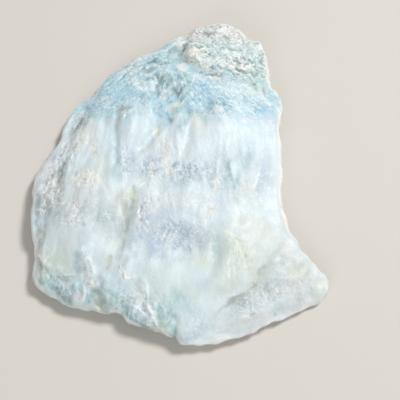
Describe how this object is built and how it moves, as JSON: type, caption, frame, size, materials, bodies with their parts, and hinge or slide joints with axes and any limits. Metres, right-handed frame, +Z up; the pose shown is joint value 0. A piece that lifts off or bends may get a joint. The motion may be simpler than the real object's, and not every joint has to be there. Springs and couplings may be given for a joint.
{
  "type": "larimar slab",
  "caption": "Rough slab of blue-white fibrous stone: lumpy crust at one end, chipped edges that tuck under, a thin flared corner and a flat sawn underside",
  "frame": {"origin": "on the sawn underside, below the middle of the slab's box", "axes": "+Z up from the sawn underside, +Y to the crusty end, +X to the side with the flared corner"},
  "size_m": [0.0654, 0.074, 0.0094],
  "materials": {
    "stone": "natural parting, pale blue to white fibrous pectolite with a granular crust, satin"
  },
  "bodies": {
    "root": {"larimar_slab": "stone"}
  },
  "joints": []
}
